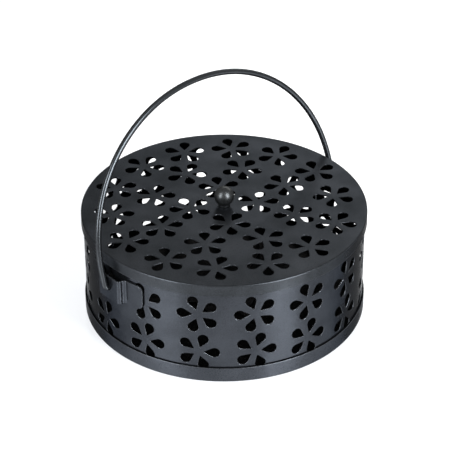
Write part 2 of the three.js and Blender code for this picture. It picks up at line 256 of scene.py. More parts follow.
def cleaned(profile):
    """A profile without repeated points."""
    p = np.array(profile, float)
    step = np.linalg.norm(p[1:] - p[:-1], axis=1)
    return p[np.r_[True, step > SAME_PLACE]]


def normals_of(profile):
    """At each point of an open line, the direction to the right of travel."""
    d = profile[1:] - profile[:-1]
    side = np.c_[d[:, 1], -d[:, 0]]
    normal = np.zeros_like(profile)
    normal[:-1] += side
    normal[1:] += side
    return normal / np.linalg.norm(normal, axis=1, keepdims=True)


def wear_and_highlight_of(profile):
    """1 where an open line turns as sharply as a cut edge does, and 0 elsewhere: the paler edge colour, thin
    paint and a painted highlight, goes where it is 1.
    """
    d = profile[1:] - profile[:-1]
    length = np.linalg.norm(d, axis=1)
    heading = np.unwrap(np.arctan2(d[:, 1], d[:, 0]))
    rate = np.abs(np.diff(heading)) * 2 / (length[1:] + length[:-1])
    return np.r_[0.0, (rate > SHARP).astype(float), 0.0]


def mitres(points):
    """At each point of a closed line, the offset direction to the right of travel, and its unit."""
    p = np.array(points, float)
    before, after = p - np.roll(p, 1, 0), np.roll(p, -1, 0) - p
    sides = []
    for d in (before, after):
        d = d / np.linalg.norm(d, axis=1, keepdims=True)
        sides.append(np.c_[d[:, 1], -d[:, 0]])
    total = sides[0] + sides[1]
    mitre = total / (1 + (sides[0] * sides[1]).sum(1, keepdims=True))
    return mitre, total / np.linalg.norm(total, axis=1, keepdims=True)


def inside(points, polygon):
    """Which points lie in a polygon."""
    x, y = points[:, 0], points[:, 1]
    result = np.zeros(len(points), bool)
    px, py = polygon[-1]
    for qx, qy in polygon:
        crosses = (qy > y) != (py > y)
        with np.errstate(divide="ignore", invalid="ignore"):
            at = (px - qx) * (y - qy) / (py - qy) + qx
        result ^= crosses & (x < at)
        px, py = qx, qy
    return result


# Meshes
def following(row):
    """For each entry of a closed row, the next one."""
    return row[1:] + row[:1]


class Surface:
    """A part's points, normals, edge marks for thin paint and a painted highlight, and faces, gathered row
    by row.
    """

    def __init__(self):
        self.rows = []
        self.faces = []
        self.count = 0

    def add(self, points, normals, worn_and_highlit):
        """Adds a row of points that share one edge mark, for thin paint and a painted highlight, and gives
        their numbers.
        """
        first = self.count
        self.count += len(points)
        self.rows.append((points, normals, np.full(len(points), float(worn_and_highlit))))
        return list(range(first, self.count))

    def join(self, lower, upper):
        """Joins two closed rows, where a row at a pole repeats its one point."""
        for quad in zip(lower, following(lower), following(upper), upper):
            face = tuple(dict.fromkeys(quad))
            if len(face) > 2:
                self.faces.append(face)

    def part(self):
        """The points, normals, edge marks and faces as one part."""
        points, normals, wear_and_highlight = (np.concatenate(kind) for kind in zip(*self.rows))
        return points, normals, wear_and_highlight, self.faces


def moved(part, matrix):
    """A part turned and shifted by a matrix."""
    points, normals, wear_and_highlight, faces = part
    m = np.array(matrix)
    turn = m[:3, :3]
    return points @ turn.T + m[:3, 3], normals @ turn.T, wear_and_highlight, faces


def tiled(vector, count):
    """The same vector for each of a number of points."""
    return np.tile(np.array(vector, float), (count, 1))


def add_object(name, data):
    made = bpy.data.objects.new(name, data)
    bpy.context.scene.collection.objects.link(made)
    return made


def mesh_piece(name, part, body, replaces):
    """A visible piece made of a part, with what it rides on and the solids that it stands for."""
    points, normals, wear_and_highlight, faces = part
    mesh = bpy.data.meshes.new(name)
    mesh.from_pydata([tuple(p) for p in points * MM], [], faces)
    mesh.polygons.foreach_set("use_smooth", [True] * len(mesh.polygons))
    # Faces turned to the box's inside are marked for a darker colour: painted shade.
    inner = ((BOX_MIDDLE - points) * normals).sum(1) > 0
    # Cut edges and tight bends are marked for a paler colour: thin paint and a painted highlight.
    mesh.attributes.new("wear_and_highlight", "FLOAT", "POINT").data.foreach_set("value", wear_and_highlight)
    mesh.attributes.new("inner", "FLOAT", "POINT").data.foreach_set("value", inner.astype(float))
    mesh.validate()
    mesh.update()
    unit = normals / np.linalg.norm(normals, axis=1, keepdims=True)
    mesh.normals_split_custom_set_from_vertices([tuple(n) for n in unit])
    piece = add_object(name, mesh)
    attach(piece, body)
    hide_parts(*replaces)
    return piece


# Stamped sheet
def edge_rows(points, thickness, wrap, front, back):
    """A cut edge, from the sheet's front face to its back, with both of its corners rounded.

    Each row holds its points on the flat pattern, their places, their normals and their edge mark, for thin
    paint and a painted highlight.
    """
    mitre, unit = mitres(points)
    p = np.array(points, float)
    stations = [(front * (1 - math.sin(a)), front * (1 - math.cos(a)), a)
                for a in np.linspace(0, math.pi / 2, EDGE_STEPS + 1)]
    stations += [(back * (1 - math.sin(a)), thickness - back * (1 + math.cos(a)), a)
                 for a in np.linspace(math.pi / 2, math.pi, EDGE_STEPS + 1)]
    rows = []
    for k, (inset, depth, a) in enumerate(stations):
        at = p - mitre * inset
        place, ex, ey, up = wrap(at[:, 0], at[:, 1], np.full(len(p), depth))
        out = ex * unit[:, :1] + ey * unit[:, 1:]
        # The rounded cut edge between the two faces gets the paler edge colour: thin paint and a painted
        # highlight.
        worn_and_highlit = 0.0 if k in (0, len(stations) - 1) else 1.0
        rows.append((at, place, up * math.cos(a) + out * math.sin(a), worn_and_highlit))
    return rows


def loop_edges(loops):
    """Pairs of neighbouring points round each loop, numbered through all loops."""
    edges = []
    first = 0
    for loop in loops:
        numbers = list(range(first, first + len(loop)))
        edges += zip(numbers, following(numbers))
        first += len(loop)
    return edges


def pattern_faces(loops, fill):
    """Anticlockwise triangles that fill loops[0] and its fill points, and leave the other loops open."""
    plan = [Vector((float(x), float(y))) for points in (*loops, fill) for x, y in points]
    owner = [k for k, loop in enumerate(loops) for _ in loop] + [None] * len(fill)
    found = geometry.delaunay_2d_cdt(plan, loop_edges(loops), [], 1, PATTERN_MERGE)
    triangles, origins = found[2], found[3]
    faces = []
    for triangle in triangles:
        a, b, c = (origins[i][0] for i in triangle)
        k = owner[a]
        if k is not None and owner[b] == k and owner[c] == k:
            middle = (plan[a] + plan[b] + plan[c]) / 3
            within = inside(np.array([tuple(middle)]), loops[k])[0]
            if within != (k == 0):
                continue
        if (plan[b] - plan[a]).cross(plan[c] - plan[a]) < 0:
            b, c = c, b
        faces.append((a, b, c))
    return faces


def stamped(loops, thickness, wrap, fill=(), front=BLUNT, back=BACK_BLUNT, rim=None):
    """A sheet laid on a face: loops[0] runs anticlockwise round it, the rest clockwise round its holes.

    wrap lays the flat pattern on the face, fill is more points on it, and rim takes the place of the
    outer loop's cut edge.
    """
    surface = Surface()
    flat, top, under = [], [], []
    for k, loop in enumerate(loops):
        rows = rim if rim is not None and k == 0 else edge_rows(loop, thickness, wrap, front, back)
        numbers = [surface.add(place, normal, worn_and_highlit) for _, place, normal, worn_and_highlit in rows]
        for upper, lower in zip(numbers, numbers[1:]):
            surface.faces += zip(upper, lower, following(lower), following(upper))
        flat.append(rows[0][0])
        top += numbers[0]
        under += numbers[-1]
    if len(fill):
        fill = np.array(fill, float)
        for depth, side, numbers in ((0, 1, top), (thickness, -1, under)):
            place, _, _, up = wrap(fill[:, 0], fill[:, 1], np.full(len(fill), float(depth)))
            numbers += surface.add(place, up * side, 0)
    for a, b, c in pattern_faces(flat, fill):
        surface.faces.append((top[a], top[b], top[c]))
        surface.faces.append((under[a], under[c], under[b]))
    return surface.part()


# Turned pieces
def turned(profile, steps):
    """A profile of (radius, height) points turned round the Z axis, with the solid on its left."""
    p = cleaned(profile)
    normal = normals_of(p)
    for end in (0, -1):
        if p[end, 0] < ON_AXIS:
            normal[end, 0] = 0
    surface = Surface()
    rows = []
    for (radius, height), (outward, up), worn_and_highlit in zip(p, normal, wear_and_highlight_of(p)):
        angles = [2 * math.pi * i / steps for i in range(steps)] if radius > ON_AXIS else [0.0]
        points = [(radius * math.cos(a), radius * math.sin(a), height) for a in angles]
        normals = [(outward * math.cos(a), outward * math.sin(a), up) for a in angles]
        numbers = surface.add(points, normals, worn_and_highlit)
        rows.append([numbers[i % len(numbers)] for i in range(steps)])
    for lower, upper in zip(rows, rows[1:]):
        surface.join(lower, upper)
    return surface.part()


# Bent strips and wire
class Path:
    """A line in a plane, measured by its length, with the solid on its left."""

    def __init__(self, points):
        self.points = cleaned(points)
        normal = normals_of(self.points)
        self.tangent = np.c_[-normal[:, 1], normal[:, 0]]
        step = np.linalg.norm(self.points[1:] - self.points[:-1], axis=1)
        self.length = np.r_[0, np.cumsum(step)]

    def at(self, s):
        """The places and directions at distances s along the line."""
        place = np.array([np.interp(s, self.length, v) for v in self.points.T]).T
        t = np.array([np.interp(s, self.length, v) for v in self.tangent.T]).T
        return place, t / np.linalg.norm(t, axis=1, keepdims=True)


def bent(path):
    """Lays a flat pattern on a path in plan: x follows the path and y stands upright."""

    def wrap(x, y, depth):
        place, t = path.at(x)
        n = np.c_[t[:, 1], -t[:, 0]]
        spot = place - n * depth[:, None]
        zero = np.zeros(len(x))
        return np.c_[spot, y], np.c_[t, zero], tiled((0, 0, 1), len(x)), np.c_[n, zero]

    return wrap


def swept(route, radius, sides, blunt):
    """A round wire along a line in the plane of x and z, its two ends cut square and blunted."""
    path = Path(route)
    length = path.length[-1]
    quarter = np.linspace(0, math.pi / 2, PEG_STEPS + 1)
    ends = [(blunt * (1 - math.cos(q)), radius - blunt + blunt * math.sin(q), q) for q in quarter]
    middle = [s for s in path.length if blunt < s < length - blunt]
    stations = [(0.0, 0.0, 0.0)] + ends + [(s, radius, math.pi / 2) for s in middle]
    stations += [(length - s, r, math.pi - q) for s, r, q in ends[::-1]] + [(length, 0.0, math.pi)]
    turns = [2 * math.pi * k / sides for k in range(sides)]
    surface = Surface()
    rows = []
    for s, r, q in stations:
        place, t = path.at(np.array([s]))
        (x, z), (tx, tz) = place[0], t[0]
        out = [np.array((tz * math.cos(a), math.sin(a), -tx * math.cos(a))) for a in turns]
        points = [np.array((x, 0, z)) + side * r for side in out]
        normals = [side * math.sin(q) - np.array((tx, 0, tz)) * math.cos(q) for side in out]
        rows.append(surface.add(points, normals, 0))
    for lower, upper in zip(rows, rows[1:]):
        surface.join(lower, upper)
    return surface.part()


# Flowers
def petal(x, y, turn):
    """One petal's edge, clockwise, on a flower whose middle is (x, y)."""
    head = PETAL_WIDTH / 2
    head_x = PETAL_TIP + PETAL_LENGTH - head
    tip_x = PETAL_TIP + TIP_RADIUS
    flank = 90 + math.degrees(math.asin((head - TIP_RADIUS) / (head_x - tip_x)))
    edge = arc(head_x, 0, head, -flank, flank, PETAL_STEPS)
    edge += arc(tip_x, 0, TIP_RADIUS, flank, 360 - flank, TIP_STEPS)
    a = math.radians(turn)
    c, s = math.cos(a), math.sin(a)
    return [(x + c * px - s * py, y + s * px + c * py) for px, py in edge][::-1]


def flower(x, y, turn):
    return [petal(x, y, turn + 360 * i / PETALS) for i in range(PETALS)]


# Lid
def flat_top(x, y, depth):
    """Lays the lid's pattern on its top."""
    n = len(x)
    return np.c_[x, y, LID_TOP - depth], tiled((1, 0, 0), n), tiled((0, 1, 0), n), tiled((0, 0, 1), n)


def lid_flowers():
    """The petals of the lid's three rings of flowers."""
    places = []
    for i in range(OUTER_RING):
        kind = i % len(OUTER_SHARES)
        places.append((OUTER_START + 360 * i / OUTER_RING, OUTER_SHARES[kind], OUTER_TURNS[kind]))
    for i in range(MIDDLE_RING):
        side = 1 if i % 2 else -1
        azimuth = MIDDLE_START + 360 * i / MIDDLE_RING + side * MIDDLE_SWAY
        places.append((azimuth, MIDDLE_SHARE, side * MIDDLE_TURN))
    for i in range(INNER_RING):
        places.append((INNER_START + 360 * i / INNER_RING, INNER_SHARE, 0))
    loops = []
    for azimuth, share, turn in places:
        a = math.radians(azimuth)
        loops += flower(LID_RADIUS * share * math.cos(a), LID_RADIUS * share * math.sin(a), azimuth + turn)
    return loops


def skirt_profile():
    """The lid's fold, skirt and flared lip in section, from the edge of the top round to the underside."""
    fold = LID_RADIUS - FOLD_RADIUS
    bend = SKIRT_BOTTOM + FLARE_RISE
    curl = SKIRT_BOTTOM + CURL_RISE
    inner = LID_RADIUS - SHEET
    outside = [
        (fold, LID_TOP, 0), (LID_RADIUS, LID_TOP, FOLD_RADIUS - APART), (LID_RADIUS, bend, FLARE_BEND),
        (LID_RADIUS + CURL, curl, CURL_BEND), (LID_RADIUS + FLARE, SKIRT_BOTTOM, SKIRT_LIP),
    ]
    back = [
        (inner + FLARE, SKIRT_BOTTOM, SKIRT_LIP), (inner + CURL, curl, CURL_BEND), (inner, bend, FLARE_BEND),
        (inner, LID_TOP - SHEET, FOLD_RADIUS - SHEET - APART), (fold, LID_TOP - SHEET, 0),
    ]
    return cleaned(rounded(outside + back, closed=False, steps=FOLD_STEPS))


def skirt_rows(circle):
    """The skirt's profile carried round a circle, in the form of a cut edge."""
    profile = skirt_profile()
    normal = -normals_of(profile)
    normal[0] = (0, 1)
    normal[-1] = (0, -1)
    flat = circle * (LID_RADIUS - FOLD_RADIUS)
    rows = []
    for (radius, height), (outward, up), worn_and_highlit in zip(profile, normal, wear_and_highlight_of(profile)):
        place = np.c_[circle * radius, np.full(len(circle), height)]
        rows.append((flat, place, np.c_[circle * outward, np.full(len(circle), up)], worn_and_highlit))
    return rows


def make_lid():
    circle = np.array(ring(0, 0, 1, ROUND))
    edge = [tuple(p) for p in circle * (LID_RADIUS - FOLD_RADIUS)]
    screw_hole = ring(0, 0, SCREW_HOLE, SCREW_HOLE_STEPS)[::-1]
    loops = [edge] + lid_flowers() + [screw_hole]
    part = stamped(loops, SHEET, flat_top, rim=skirt_rows(circle))
    return mesh_piece("lid_pressing", part, "lid", ["lid"])


# Wall
def on_wall(x, y, depth):
    """Lays a flat pattern on the wall: x runs round its outside and y is the height."""
    a = x / WALL_RADIUS
    c, s = np.cos(a), np.sin(a)
    zero, one = np.zeros(len(x)), np.ones(len(x))
    radius = WALL_RADIUS - depth
    return np.c_[radius * c, radius * s, y], np.c_[-s, c, zero], np.c_[zero, zero, one], np.c_[c, s, zero]


def wall_flowers():
    """The petals of the wall's two rows of flowers."""
    loops = []
    for i in range(COLUMNS):
        x = math.radians(COLUMN_START + 360 * i / COLUMNS) * WALL_RADIUS
        loops += flower(x, TRAY_RIM + LOWER_RISE, 0)
        loops += flower(x, SKIRT_BOTTOM - UPPER_DROP, 180)
    return loops


def wall_fill(across, up, holes):
    """Points in staggered rows between the wall's holes, so that its triangles follow the curve."""
    points = []
    for k, x in enumerate(across[1:-1]):
        stagger = FILL_STAGGER if k % 2 else -FILL_STAGGER
        points += [(x, y) for y in up[1:-1] + stagger]
    grid = np.array(points)
    grid = grid[(grid[:, 1] > up[0] + FILL_GAP) & (grid[:, 1] < up[-1] - FILL_GAP)]
    keep = np.ones(len(grid), bool)
    for hole in holes:
        near = np.abs(grid - np.mean(hole, 0)).max(1) < PETAL_LENGTH
        grown = np.array(hole) - mitres(hole)[0] * FILL_GAP
        keep[near] &= ~inside(grid[near], grown)
    return grid[keep]


def make_wall():
    top = LID_TOP - SHEET - SEAT_GAP
    bottom = SHEET + SEAT_GAP
    start = math.radians(COLUMN_START - 180 / COLUMNS) * WALL_RADIUS + SEAM / 2
    end = start + 2 * math.pi * WALL_RADIUS - SEAM
    across = np.linspace(start, end, ROUND + 1)
    up = np.linspace(bottom, top, WALL_ROWS)
    outline = [(x, bottom) for x in across] + [(end, y) for y in up[1:]]
    outline += [(x, top) for x in across[-2::-1]] + [(start, y) for y in up[-2:0:-1]]
    holes = wall_flowers()
    part = stamped([outline] + holes, SHEET, on_wall, fill=wall_fill(across, up, holes))
    return mesh_piece("wall_strip", part, "box", ["side_wall"])


# Tray
def make_tray():
    inner = TRAY_RADIUS - SHEET
    profile = rounded([
        (0, 0, 0), (TRAY_RADIUS, 0, TRAY_CORNER), (TRAY_RADIUS, TRAY_RIM, TRAY_LIP),
        (inner, TRAY_RIM, TRAY_LIP), (inner, SHEET, TRAY_INSIDE), (0, SHEET, 0),
    ], closed=False, steps=FOLD_STEPS)
    return mesh_piece("tray_pan", turned(profile, ROUND), "box", ["base_tray"])


# Brackets
def hat_path():
    """The outer line of a bracket in plan, from one flange's tip to the other's."""
    flange = WALL_RADIUS + SEAT_GAP + BRACKET_SHEET
    half = FACE_WIDTH / 2
    tip = math.degrees(math.asin(FLANGE_SPAN / 2 / flange))
    foot = math.degrees(math.asin((half + SPLAY) / flange))
    side = [(x, y, 0) for x, y in arc(0, 0, flange, tip, foot + FOOT_PLAY, FLANGE_STEPS)]
    corner_x, corner_y = arc(0, 0, flange, foot, foot, 0)[0]
    right = side + [(corner_x, corner_y, FOOT_BEND), (FACE_RADIUS, half, BEND)]
    left = [(x, -y, radius) for x, y, radius in right[::-1]]
    return Path(rounded(right + left, closed=False, steps=BEND_STEPS)[::-1])


def bracket_outline(length, half, stations):
    """The bracket's flat pattern, with points on its long sides wherever the path bends."""
    outline = rounded([(0, -half, FLANGE_CORNER), (length, -half, FLANGE_CORNER),
                       (length, half, FLANGE_CORNER), (0, half, FLANGE_CORNER)], steps=BEND_STEPS)
    low = [(s, -half) for s in stations]
    high = [(s, half) for s in stations[::-1]]
    quarter = len(outline) // 4
    return outline[:quarter] + low + outline[quarter:3 * quarter] + high + outline[3 * quarter:]


def make_bracket(name, node, turn):
    path = hat_path()
    length = path.length[-1]
    half = BRACKET_HEIGHT / 2
    margin = FLANGE_CORNER + FLANGE_CLEAR
    stations = [s for s in path.length if margin < s < length - margin]
    hole = ring(length / 2, 0, PEG_HOLE, PEG_HOLE_STEPS)[::-1]
    rows = np.linspace(-half, half, BRACKET_ROWS)[1:-1]
    clear = PEG_HOLE_CLEAR_SHARE * PEG_HOLE
    fill = [(s, y) for s in stations for y in rows if math.hypot(s - length / 2, y) > clear]
    loops = [bracket_outline(length, half, stations), hole]
    part = stamped(loops, BRACKET_SHEET, bent(path), fill=fill)
    place = Matrix.Translation((0, 0, PIVOT)) @ Matrix.Rotation(turn, 4, "Z")
    return mesh_piece(name, moved(part, place), "box", [node])


# Handle
def handle_route():
    """The wire's middle line, from the tip of one peg to the tip of the other."""
    span = FACE_RADIUS + HANDLE_PLAY + WIRE
    peg = FACE_RADIUS - BRACKET_SHEET - PEG_REACH
    half = [(peg + k * (span - WIRE_BEND - peg) / LEG_PARTS, 0) for k in range(LEG_PARTS)]
    half += arc(span - WIRE_BEND, WIRE_BEND, WIRE_BEND, -90, 0, WIRE_BEND_STEPS)
    for k in range(1, LEG_PARTS + 1):
        half.append((span, WIRE_BEND + (LEG_TOP - WIRE_BEND) * k / (LEG_PARTS + 1)))
    for a in np.linspace(0, math.pi / 2, ARCH_STEPS + 1):
        x, z = math.cos(a) ** (2 / FULLNESS), math.sin(a) ** (2 / FULLNESS)
        half.append((span * x, LEG_TOP + (HANDLE_RISE - LEG_TOP) * z))
    return half + [(-x, z) for x, z in half[-2::-1]]


def make_handle():
    place = Matrix.Translation((0, 0, PIVOT)) @ Matrix.Rotation(-math.radians(LEAN), 4, "X")
    part = moved(swept(handle_route(), WIRE, WIRE_SIDES, PEG_BLUNT), place)
    return mesh_piece("handle_wire", part, "handle", ["handle"])


# Knob and screw
def make_knob():
    foot = LID_TOP + SEAT_GAP
    centre = LID_TOP + BALL_RISE
    meets = -math.degrees(math.acos((NECK + NECK_EDGE) / BALL_RADIUS))
    neck_top = centre + BALL_RADIUS * math.sin(math.radians(meets)) - NECK_EDGE
    corners = [(0, foot, 0), (NECK, foot, NECK_EDGE), (NECK, neck_top, 0)]
    profile = rounded(corners, closed=False, steps=SMALL_STEPS)
    profile += arc(0, centre, BALL_RADIUS, meets, 90, BALL_STEPS)
    profile[-1] = (0, centre + BALL_RADIUS)
    return mesh_piece("knob_ball", turned(profile, KNOB_ROUND), "lid", ["lid_knob"])


def make_screw():
    top = LID_TOP - SHEET - SEAT_GAP
    low = top - HEAD_HEIGHT
    end = top + SCREW_LENGTH
    profile = rounded([
        (0, low, 0), (HEAD_RADIUS, low, HEAD_EDGE), (HEAD_RADIUS, top, HEAD_SEAT_EDGE), (SHANK, top, 0),
        (SHANK, end, SHANK_END), (0, end, 0),
    ], closed=False, steps=SMALL_STEPS)
    return mesh_piece("screw_head", turned(profile, SCREW_ROUND), "lid", ["knob_screw"])


# Coil stand
def stand_wrap(x, y, depth):
    """Lays the stand's flat pattern on the tray, with its three prongs and its middle tongue turned up."""
    n = len(x)
    place = np.c_[x, y, STAND_TOP - depth]
    ex, ey, up = tiled((1, 0, 0), n), tiled((0, 1, 0), n), tiled((0, 0, 1), n)
    z = np.array((0, 0, 1.0))
    folds = [(STAND_START + 360 * k / ARMS, STAND_FOLD, LID_RADIUS, PRONG_FOLD_HALF) for k in range(ARMS)]
    folds.append((180, -STAND_SHEET - STAND_BEND, TONGUE_BLANK + TONGUE_PLAY, TONGUE_FOLD_HALF))
    for turn, start, end, half in folds:
        a = math.radians(turn)
        out, side = np.array((math.cos(a), math.sin(a), 0)), np.array((-math.sin(a), math.cos(a), 0))
        along, across = x * out[0] + y * out[1], x * side[0] + y * side[1]
        which = (along > start) & (along < end) & (np.abs(across) < half)
        t = along[which] - start
        phi = np.clip(t / STAND_BEND, 0, math.pi / 2)
        extra = np.clip(t - STAND_BEND * math.pi / 2, 0, None)
        c, s = np.cos(phi)[:, None], np.sin(phi)[:, None]
        tangent, normal = c * out + s * z, -s * out + c * z
        spot = (start + STAND_BEND * s) * out + (STAND_TOP + STAND_BEND * (1 - c) + extra[:, None]) * z
        place[which] = spot + across[which][:, None] * side - normal * depth[which][:, None]
        ex[which] = tangent * out[0] + side * side[0]
        ey[which] = tangent * out[1] + side * side[1]
        up[which] = normal
    return place, ex, ey, up


def arm_half(r):
    """Half the width of an arm, at a distance from the middle."""
    share = (r - ARM_ROOT) / (STAND_REACH - ARM_ROOT)
    return ARM_ROOT_HALF + share * (ARM_TIP_HALF - ARM_ROOT_HALF)


def arm_corners():
    """One arm and its prong along x, laid flat, as corners (distance, side, radius)."""
    end = STAND_FOLD + STAND_BEND * math.pi / 2 + PRONG_HEIGHT - STAND_SHEET - STAND_BEND
    straight = np.linspace(STAND_HUB + ARM_STRAIGHT, STAND_FOLD - ARM_STOP, ARM_POINTS)
    half = [(STAND_HUB - ARM_ROOT_INSET, -arm_half(STAND_HUB), ARM_ROOT_ROUND)]
    half += [(r, -arm_half(r), 0) for r in straight]
    half.append((STAND_FOLD - SHOULDER, -PRONG_HALF, PRONG_CORNER))
    half += [(STAND_FOLD + s, -PRONG_HALF, 0) for s in np.linspace(PRONG_START, PRONG_HALF, ARM_POINTS)]
    half += [(end - PRONG_HALF, -PRONG_HALF, PRONG_CORNER), (end, -PRONG_HALF / 2, PRONG_TIP)]
    return half + [(r, -b, radius) for r, b, radius in half[::-1]]


def stand_outline():
    """The stand's outer edge, laid flat: three arms and the hub's round edge between them."""
    gap = math.degrees(math.asin(arm_half(STAND_HUB) / STAND_HUB)) + HUB_TURN
    corners = []
    for k in range(ARMS):
        turn = STAND_START + 360 * k / ARMS
        a = math.radians(turn)
        for r, b, radius in arm_corners():
            corners.append((r * math.cos(a) - b * math.sin(a), r * math.sin(a) + b * math.cos(a), radius))
        hub = arc(0, 0, STAND_HUB, turn + gap, turn + 360 / ARMS - gap, HUB_STEPS)
        corners += [(x, y, 0) for x, y in hub]
    return rounded(corners)


def tongue_slot():
    """The slot left round the tongue, clockwise."""
    half = [(-SLOT_END, SLOT_HALF, SLOT_CORNER), (SLOT_ROOT, SLOT_HALF, SLOT_ROOT_CORNER),
            (SLOT_ROOT, TONGUE_HALF, SLOT_ROOT_CORNER)]
    half += [(x, TONGUE_HALF, 0) for x in TONGUE_BENDS]
    half += [(TONGUE_TAPER - TONGUE_BLANK, TONGUE_HALF, SLOT_CORNER),
             (-TONGUE_BLANK, TONGUE_TIP_HALF, TONGUE_TIP)]
    hole = rounded(half + [(x, -y, r) for x, y, r in half[::-1]], steps=SLOT_STEPS)
    area = sum(a[0] * b[1] - a[1] * b[0] for a, b in zip(hole, following(hole)))
    return hole[::-1] if area > 0 else hole


def make_stand():
    loops = [stand_outline(), tongue_slot()]
    part = stamped(loops, STAND_SHEET, stand_wrap, front=STAND_BLUNT, back=STAND_BLUNT)
    return mesh_piece("stand_pressing", part, "stand", ["coil_stand"])


# Shader nodes
def add_node(tree, kind, inputs=(), **settings):
    """A node whose inputs are linked where they are given a socket, and set where they are given a value."""
    made = tree.nodes.new(kind)
    for key, value in settings.items():
        setattr(made, key, value)
    for key, value in dict(inputs).items():
        if isinstance(value, bpy.types.NodeSocket):
            tree.links.new(value, made.inputs[key])
        else:
            made.inputs[key].default_value = value
    return made


def calculate(tree, operation, a, b):
    return add_node(tree, "ShaderNodeMath", {0: a, 1: b}, operation=operation).outputs[0]


def noise(tree, size, detail, roughness):
    """Noise fixed to the object, with grains of a size in millimetres."""
    place = add_node(tree, "ShaderNodeTexCoord").outputs["Object"]
    inputs = {"Vector": place, "Scale": 1 / (size * MM), "Detail": detail, "Roughness": roughness}
    return add_node(tree, "ShaderNodeTexNoise", inputs).outputs["Fac"]


def spread(tree, value, low, high, to_low=0.0, to_high=1.0):
    """A value brought from one range to another, and held within it."""
    inputs = {"Value": value, "From Min": low, "From Max": high, "To Min": to_low, "To Max": to_high}
    return add_node(tree, "ShaderNodeMapRange", inputs).outputs["Result"]


def blend(tree, share, a, b):
    inputs = {"Factor": share, "A": a, "B": b}
    return add_node(tree, "ShaderNodeMix", inputs, data_type="RGBA").outputs["Result"]


def attribute(tree, name):
    return add_node(tree, "ShaderNodeAttribute", attribute_name=name).outputs["Fac"]


# Materials
FINE_DETAIL = 3
FINE_ROUGHNESS = 0.65
BROAD_GRAIN = 17.0
BROAD_DETAIL = 2
BROAD_ROUGHNESS = 0.5
BROAD_SHARE = 0.6  # how much the broad grain adds to the fine one
SHADE_RANGE = (0.6, 1.0)  # grain from which the colour goes from dark to light
# Over this range of the grain, cut edges and tight bends turn paler: thin paint and a painted highlight.
WEAR_AND_HIGHLIGHT_RANGE = (0.35, 0.65)
GLOSS_RANGE = (0.3, 0.7)
GLOSS_PLAY = 0.05
PAINT_RELIEF = 0.00005  # depth of its grain
INSIDE_SHADE = (0.009, 0.010, 0.011)  # painted shade: a darker colour on faces turned to the box's inside
STOVED = {"metal": 0.9, "gloss": 0.5, "edge": 0.15}  # what the glossy paints share


def coat_colour(tree, fine, dark, light, worn_and_highlit, inside_shade):
    """Mottled colour, with a paler one on cut edges and tight bends, thin paint and a painted highlight,
    and, where a shade colour is given, a painted shade on faces turned inside the box.
    """
    broad = noise(tree, BROAD_GRAIN, BROAD_DETAIL, BROAD_ROUGHNESS)
    shade = calculate(tree, "ADD", fine, calculate(tree, "MULTIPLY", broad, BROAD_SHARE))
    colour = blend(tree, spread(tree, shade, *SHADE_RANGE), (*dark, 1), (*light, 1))
    # Paler patches on cut edges and tight bends: thin paint and a painted highlight.
    patchy_wear_and_highlight = calculate(tree, "MULTIPLY", attribute(tree, "wear_and_highlight"), spread(tree, fine, *WEAR_AND_HIGHLIGHT_RANGE))
    colour = blend(tree, patchy_wear_and_highlight, colour, (*worn_and_highlit, 1))
    # Faces turned inside get a darker colour: painted shade.
    if inside_shade is not None:
        colour = blend(tree, attribute(tree, "inner"), colour, (*inside_shade, 1))
    return colour


def painted(name, dark, light, worn_and_highlit, rough, grain, relief, metal=0.0, gloss=0.5, edge=1.0, inside_shade=None):
    """A coat on steel, with fine grain in its colour, gloss and surface; edge tints glancing reflections."""
    material = bpy.data.materials.new(name)
    material.use_nodes = True
    tree = material.node_tree
    shader = tree.nodes["Principled BSDF"]
    shader.inputs["Metallic"].default_value = metal
    shader.inputs["Specular IOR Level"].default_value = gloss
    shader.inputs["Specular Tint"].default_value = (edge, edge, edge, 1)
    fine = noise(tree, grain, FINE_DETAIL, FINE_ROUGHNESS)
    tree.links.new(coat_colour(tree, fine, dark, light, worn_and_highlit, inside_shade), shader.inputs["Base Color"])
    roughness = spread(tree, fine, *GLOSS_RANGE, rough - GLOSS_PLAY, rough + GLOSS_PLAY)
    tree.links.new(roughness, shader.inputs["Roughness"])
    bump = add_node(tree, "ShaderNodeBump", {"Strength": relief, "Distance": PAINT_RELIEF, "Height": fine})
    tree.links.new(bump.outputs["Normal"], shader.inputs["Normal"])
    return material


# Each paint's worn colour goes on cut edges and tight bends: thin paint and a painted highlight.
def wall_paint():
    # Bluer than the lid's paint, though the same paint: the blue is painted bluish light on the sides.
    return painted("satin charcoal paint", dark=(0.037, 0.040, 0.046), light=(0.067, 0.073, 0.084),
                   worn_and_highlit=(0.2, 0.21, 0.225), rough=0.22, grain=0.5, relief=0.5, inside_shade=INSIDE_SHADE, **STOVED)


def tray_paint():
    # The same paint as the wall's, made lighter: painted light from the floor close by.
    return painted("tray paint with painted floor light", dark=(0.045, 0.049, 0.056), light=(0.077, 0.083, 0.095),
                   worn_and_highlit=(0.12, 0.125, 0.135), rough=0.3, grain=0.5, relief=0.5, inside_shade=INSIDE_SHADE, **STOVED)


def lid_paint():
    return painted("satin paint on the lid", dark=(0.032, 0.035, 0.038), light=(0.059, 0.063, 0.070),
                   worn_and_highlit=(0.07, 0.073, 0.08), rough=0.32, grain=0.5, relief=0.45, inside_shade=INSIDE_SHADE, **STOVED)


def handle_paint():
    return painted("smooth charcoal paint", dark=(0.048, 0.052, 0.056), light=(0.076, 0.081, 0.087),
                   worn_and_highlit=(0.05, 0.055, 0.06), rough=0.21, grain=0.4, relief=0.5, **STOVED)


def knob_paint():
    return painted("knob charcoal paint", dark=(0.056, 0.058, 0.059), light=(0.074, 0.077, 0.078),
                   worn_and_highlit=(0.05, 0.055, 0.06), rough=0.34, grain=0.5, relief=0.6,
                   metal=0.9, gloss=0.5, edge=0.4)


